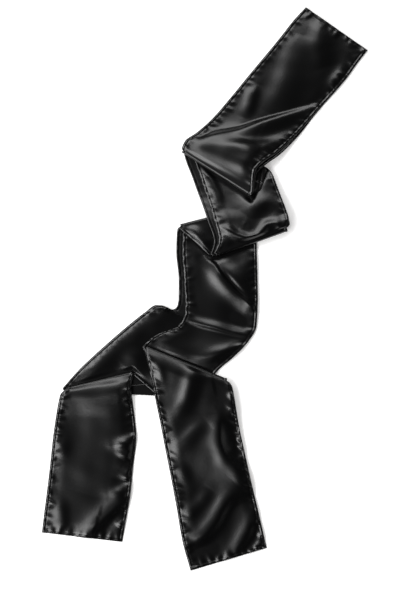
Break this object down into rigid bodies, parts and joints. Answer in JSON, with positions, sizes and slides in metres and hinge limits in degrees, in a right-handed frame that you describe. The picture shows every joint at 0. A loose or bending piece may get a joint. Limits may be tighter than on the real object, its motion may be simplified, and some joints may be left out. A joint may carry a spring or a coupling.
{
  "type": "satin scarf, folded double and laid out",
  "caption": "Long narrow black satin scarf, folded double and laid out flat in loose zigzag folds, with its tails apart.",
  "frame": {"origin": "middle of the outline's bounding box, on the surface the scarf lies on", "axes": "+Z up from the surface; +Y along the scarf's laid length, away from the tails; +X to the right as seen from above with +Y up"},
  "size_m": [0.4174, 0.7218, 0.0187],
  "materials": {
    "satin": "black satin, smooth and lustrous"
  },
  "bodies": {
    "root": {"top_upper": "satin", "top_middle": "satin", "top_lower": "satin", "right_tail": "satin", "under_upper": "satin", "under_middle": "satin", "under_turnback": "satin", "under_lower": "satin", "left_tail": "satin"}
  },
  "joints": []
}
